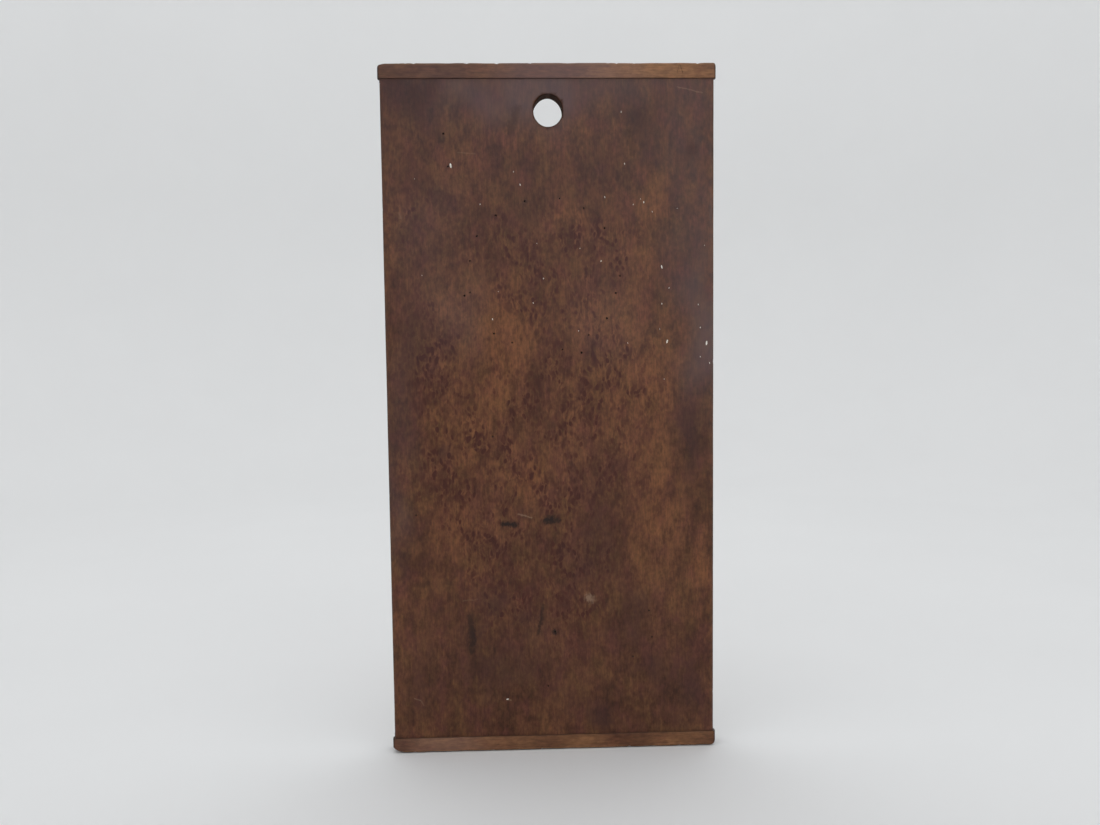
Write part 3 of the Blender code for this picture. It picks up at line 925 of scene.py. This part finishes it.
def paint_panel_values(mesh):
    """Stores where the panel is stained, glowing, figured and rubbed, where painted sheen lies,
    and where grime and painted shade darken it.
    """
    points = vertex_array(mesh)
    x, y, z = points.T
    warp_x = x + noise_at(points, (34, 90, 22)) * 15 * MM
    warp_z = z + noise_at(points, (30, 90, 22), (0, 5, 0)) * 18 * MM
    front = smooth_step(BACK_Y - 5 * MM, FRONT_Y + 5 * MM, y)
    back = 1.0 - front
    cloud = noise_at(points, (11, 0, 8), (7, 2.5, 0))
    stain = front * blotches(warp_x, warp_z, STAIN_SPOTS)
    stain += back * smooth_step(0.15, 0.6, cloud) * 0.7
    glow = front * blotches(warp_x, warp_z, GLOW_SPOTS)
    glow += back * smooth_step(0.0, 0.6, -cloud) * 0.7
    # Painted sheen, stronger towards the top and faint on the back, as the room's light reflects
    # in the wax
    up = smooth_step(0.0, 0.3, z - CENTRE.z)
    painted_sheen = front * (blotches(warp_x, warp_z, PAINTED_SHEEN_SPOTS) + 0.03 + 0.2 * up) + back * 0.15
    figure = front * (blotches(warp_x, warp_z, FIGURE_SPOTS) + 0.12)
    figure += back * blotches(warp_x + 25 * MM, warp_z - 40 * MM, FIGURE_SPOTS) * 0.7
    half_x = PANEL_WIDTH / 2
    at_side = smooth_step(half_x - 3.2 * MM, half_x - 0.4 * MM, np.abs(x))
    on_face = smooth_step(PANEL_THICKNESS / 2 - 3 * MM, PANEL_THICKNESS / 2,
                          np.abs(y - (FRONT_Y + BACK_Y) / 2))
    patchy = 0.5 + 0.5 * noise_at(points, (60, 0, 30), (0, 9.1, 0))
    rubbed = at_side * on_face * patchy
    # Darker at the seams: a dark joint and painted contact shade beside the proud cleats
    seam = np.minimum(TOP_LOW.z - z, z - BOTTOM_HIGH.z)
    grime_and_painted_shade = smooth_step(0.9 * MM, 0.0, seam) * 0.4
    # Darker on the long side faces
    grime_and_painted_shade += at_side * (1 - on_face) * 0.35
    # Painted shade inside the hanging hole, and a faint darker ring round its mouth
    ring = np.sqrt((x / HOLE_HALF_WIDTH) ** 2 + (z / HOLE_HALF_HEIGHT) ** 2)
    in_hole = smooth_step(1.07, 1.02, ring)
    grime_and_painted_shade += smooth_step(1.16, 1.04, ring) * 0.2 + in_hole * 0.7
    # No painted sheen inside the hanging hole
    painted_sheen *= 1.0 - in_hole
    store(mesh, "stain", stain)
    store(mesh, "glow", glow)
    store(mesh, "painted_sheen", painted_sheen)
    store(mesh, "figure", figure)
    store(mesh, "rubbed", rubbed)
    store(mesh, "grime_and_painted_shade", grime_and_painted_shade)


# The sheen spots paint a pale reflection along each cleat
TOP_CLEAT_SPOTS = {  # centre along the cleat, half length in mm, strength
    "glow": [(70, 40, 0.5), (115, 60, 0.66), (20, 30, 0.25)],
    "painted_sheen": [(10, 60, 0.8), (60, 30, 0.4), (-30, 30, 0.25), (-110, 60, 0.4)],
    "stain": [(-160, 60, 0.7), (-90, 30, 0.25)],
}
BOTTOM_CLEAT_SPOTS = {
    "glow": [(-100, 44, 0.72), (-30, 22, 0.3), (30, 26, 0.48), (120, 44, 0.35)],
    "painted_sheen": [(-110, 50, 0.6)],
    "stain": [(84, 16, 0.15), (-157, 8, 0.5), (-10, 14, 0.15)],
}


def paint_cleat_values(mesh, top):
    """Stores where a cleat is golden, stained and rubbed, where painted sheen lies, and where
    grime and painted shade darken it.
    """
    points = vertex_array(mesh)
    x, y, z = points.T
    along = x / MM + noise_at(points, (50, 40, 60)) * 12
    for name, spots in (TOP_CLEAT_SPOTS if top else BOTTOM_CLEAT_SPOTS).items():
        total = sum(strength * np.exp(-SPOT_FADE * ((along - centre) / half) ** 2)
                    for centre, half, strength in spots)
        store(mesh, name, total)
    outer = (z - TOP_LOW.z) if top else (BOTTOM_HIGH.z - z)
    half_y = CLEAT_THICKNESS / 2
    off_middle = np.abs(y - (TOP_LOW.y + TOP_HIGH.y) / 2)
    patchy = 0.5 + 0.5 * noise_at(points, (45, 30, 0), (0, 0, 6.4))
    arris = smooth_step(CLEAT_HEIGHT - 2.4 * MM, CLEAT_HEIGHT - 0.6 * MM, outer)
    arris *= smooth_step(half_y - 2.4 * MM, half_y - 0.6 * MM, off_middle)
    end = CLEAT_LENGTH / 2 - np.abs(x)
    # Painted contact shade along the seam face
    grime_and_painted_shade = smooth_step(0.7 * MM, 0.1 * MM, outer) * 0.5
    # Painted shade on the rounded ends, as they turn away from the light
    grime_and_painted_shade += smooth_step(2.2 * MM, 0.9 * MM, end) * 0.8
    # Painted shade under the bottom cleat's rounded lower edge
    if not top:
        grime_and_painted_shade += smooth_step(CLEAT_HEIGHT - 1.2 * MM, CLEAT_HEIGHT, outer) * 0.5
    # Darker inside the groove
    grime_and_painted_shade += (off_middle < GROOVE_WIDTH) * (outer < GROOVE_DEPTH + 1 * MM) * 0.8
    store(mesh, "rubbed", arris * patchy)
    store(mesh, "grime_and_painted_shade", grime_and_painted_shade)


# ================================================================ the pieces
def make_panel(wood, dust_and_shade):
    """The plank with its tongues, hanging hole, beetle holes and nail holes."""
    shoulder_low = BOTTOM_HIGH.z + JOINT_GAP
    shoulder_high = TOP_LOW.z - JOINT_GAP
    mesh = loft("panel", panel_rings(shoulder_low, shoulder_high))
    mesh.materials.append(wood)
    panel = new_piece("worn_panel", mesh)
    # The bores and nail holes are walled with dust and painted shade
    cutters = [hole_cutter(wood), worm_pits(dust_and_shade), nail_holes(True, dust_and_shade), nail_holes(False, dust_and_shade)]
    cut_out(panel, cutters)
    paint_panel_values(panel.data)
    shade(panel.data)
    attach(panel, "root")
    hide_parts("panel")


def make_cleat(node_name, top, wears, wood, dust_and_shade):
    """A grooved cleat with its nail holes, worn at the left and right of its own frame."""
    mesh = loft(node_name, cleat_rings(*wears, seed=1.5 if top else 6.5))
    mesh.transform(upright(top))
    mesh.materials.append(wood)
    cleat = new_piece("worn_" + node_name, mesh)
    # The nail holes and cracks are walled with dust and painted shade
    cutters = [nail_holes(top, dust_and_shade)]
    if top:
        cutters.append(split_cutter(dust_and_shade))
    cut_out(cleat, cutters)
    paint_cleat_values(cleat.data, top)
    shade(cleat.data)
    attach(cleat, "root")
    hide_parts(node_name)


def make_paint_flecks(material):
    """Thin domed drops of paint on the front face."""
    drops = []
    rng = random.Random(SEED + 1)
    for across, up, wide, high in PAINT_FLECKS:
        bm = bmesh.new()
        bmesh.ops.create_uvsphere(bm, u_segments=14, v_segments=8, radius=1.0)
        for vert in bm.verts:
            vert.co *= 1 + 0.16 * soft_noise(vert.co.x * 1.7 + across, vert.co.y, vert.co.z * 1.7)
        bmesh.ops.scale(bm, vec=(wide * MM, FLECK_HALF_DEPTH, high * MM), verts=bm.verts)
        turn = Matrix.Rotation(rng.uniform(-0.3, 0.3), 4, "Y")
        place = (across * MM, FRONT_Y + FLECK_SINK, CENTRE.z + up * MM)
        bm.transform(Matrix.Translation(place) @ turn)
        # The sphere's faces come in a different order each run, so they are sorted
        bm.verts.index_update()
        faces = sorted([vert.index for vert in face.verts] for face in bm.faces)
        mesh = bpy.data.meshes.new("drop")
        mesh.from_pydata([vert.co[:] for vert in bm.verts], [], faces)
        bm.free()
        drops.append(mesh)
    joined = join_meshes("paint_flecks", drops, material)
    shade(joined, 60)
    flecks = new_piece("paint_flecks", joined)
    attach(flecks, "root")


# ================================================================ stage, light, camera
FLOOR_FLAT = 1.7
FLOOR_GAP = 0.5 * MM  # below the board, so that the two don't touch
SWEEP_RADIUS = 0.9
SWEEP_STEPS = 12
SWEEP_HEIGHT = 3.2
SWEEP_SIDES = 96
FLOOR_PALE = (0.89, 0.89, 0.885)
FLOOR_PALER = (0.9, 0.9, 0.895)


def make_stage():
    """A pale floor that sweeps up into a pale wall all round, open to the sky above."""
    profile = [(0.0, 0.0), (FLOOR_FLAT * 0.5, 0.0), (FLOOR_FLAT, 0.0)]
    for k in range(1, SWEEP_STEPS + 1):
        angle = k * math.pi / (2 * SWEEP_STEPS)
        profile.append((FLOOR_FLAT + SWEEP_RADIUS * math.sin(angle),
                        SWEEP_RADIUS * (1 - math.cos(angle))))
    profile.append((FLOOR_FLAT + SWEEP_RADIUS, SWEEP_HEIGHT))
    mesh = bpy.data.meshes.new("stage")
    mesh.from_pydata([(r, 0.0, h) for r, h in profile],
                     [(k, k + 1) for k in range(len(profile) - 1)], [])
    stage = new_piece("pale_floor", mesh)
    stage.location = (0.0, 0.0, cad_low.z - FLOOR_GAP)
    screw = stage.modifiers.new("Turn", "SCREW")
    screw.steps = SWEEP_SIDES
    screw.render_steps = SWEEP_SIDES
    screw.use_merge_vertices = True
    screw.merge_threshold = 0.0001
    screw.use_smooth_shade = True
    material, tree, shader, place = new_material("pale_floor")
    mottle = grainy(tree, stretched(tree, place, (3, 3, 3)), 3.0, 0.5)
    pale = tint(tree, ease(tree, mottle, 0.3, 0.7), FLOOR_PALE, FLOOR_PALER)
    fill(tree, shader, {"Base Color": pale, "Roughness": 0.9, "Specular IOR Level": 0.1})
    mesh.materials.append(material)
    return stage


# Each lamp: its place from the board's centre, its width and height, watts and colour
WINDOW = (Vector((1.05, -2.0, 0.45)), (0.9, 1.1), 10.0, (1.0, 0.975, 0.94))
SKY = (Vector((-0.1, -1.9, 1.2)), (1.8, 0.8), 6.3, (0.86, 0.93, 1.0))
CEILING = (Vector((0.0, 0.3, 2.9)), (3.0, 3.0), 25.0, (0.98, 0.99, 1.0))
ROOM_COLOUR = (0.95, 0.97, 1.0, 1.0)
ROOM_STRENGTH = 0.66


def add_light(name, lamp, facing=None):
    """A soft rectangular lamp that faces a way, or else the board's centre."""
    offset, size, power, colour = lamp
    data = bpy.data.lights.new(name, "AREA")
    data.shape = "RECTANGLE"
    data.size, data.size_y = size
    data.energy = power
    data.color = colour
    light = bpy.data.objects.new(name, data)
    bpy.context.scene.collection.objects.link(light)
    light.location = CENTRE + offset
    light.rotation_euler = (facing or CENTRE - light.location).to_track_quat("-Z", "Y").to_euler()
    light.visible_camera = False
    return light


def shade_from(light, stage):
    """Keeps a lamp that stands close to the stage from leaving a bright pool on it."""
    flag = bpy.data.collections.new(light.name + "_flag")
    flag.objects.link(stage)
    flag.collection_objects[0].light_linking.link_state = "EXCLUDE"
    light.light_linking.receiver_collection = flag


def make_light(stage):
    """A window to the front right, cool sky light above it, a broad ceiling, a pale room."""
    shade_from(add_light("window", WINDOW), stage)
    shade_from(add_light("sky", SKY), stage)
    add_light("ceiling", CEILING, facing=Vector((0.0, 0.0, -1.0)))
    world = bpy.data.worlds.new("studio")
    world.use_nodes = True
    tree = world.node_tree
    fill(tree, tree.nodes["Background"], {"Color": ROOM_COLOUR, "Strength": ROOM_STRENGTH})
    bpy.context.scene.world = world
    bpy.context.scene.view_settings.view_transform = "Standard"


LENS_MM = 30.4
SENSOR_MM = 36.0
CAMERA_FROM_FACE = Vector((-0.0314, -0.8888, 0.0657))
TURN_RIGHT = 1.94  # this and the next two in degrees
TILT_DOWN = 4.08
LEAN = -0.66


def make_camera():
    """A camera in front of the board, a little to the left of it and above its middle."""
    data = bpy.data.cameras.new("camera")
    data.lens = LENS_MM
    data.sensor_width = SENSOR_MM
    camera = bpy.data.objects.new("camera", data)
    bpy.context.scene.collection.objects.link(camera)
    turn = Matrix.Rotation(math.radians(-TURN_RIGHT), 4, "Z")
    tilt = Matrix.Rotation(math.radians(90 - TILT_DOWN), 4, "X")
    lean = Matrix.Rotation(math.radians(LEAN), 4, "Z")
    face_centre = Vector((0.0, cad_low.y, CENTRE.z))
    place = Matrix.Translation(face_centre + CAMERA_FROM_FACE)
    camera.matrix_world = place @ turn @ tilt @ lean
    bpy.context.scene.camera = camera


# ================================================================ the scene
make_camera()
panel_material = panel_wood()
cleat_material = cleat_wood()
dust_and_shade_material = dust_and_painted_shade()
iron_material = old_iron()
make_panel(panel_material, dust_and_shade_material)
make_cleat("top_cleat", True, (TOP_LEFT_WEAR, TOP_RIGHT_WEAR), cleat_material, dust_and_shade_material)
# The bottom cleat lies turned over, so its right end comes first
make_cleat("bottom_cleat", False, (BOTTOM_RIGHT_WEAR, BOTTOM_LEFT_WEAR), cleat_material,
           dust_and_shade_material)
make_nails(True, iron_material)
make_nails(False, iron_material)
make_paint_flecks(dried_paint())
make_light(make_stage())
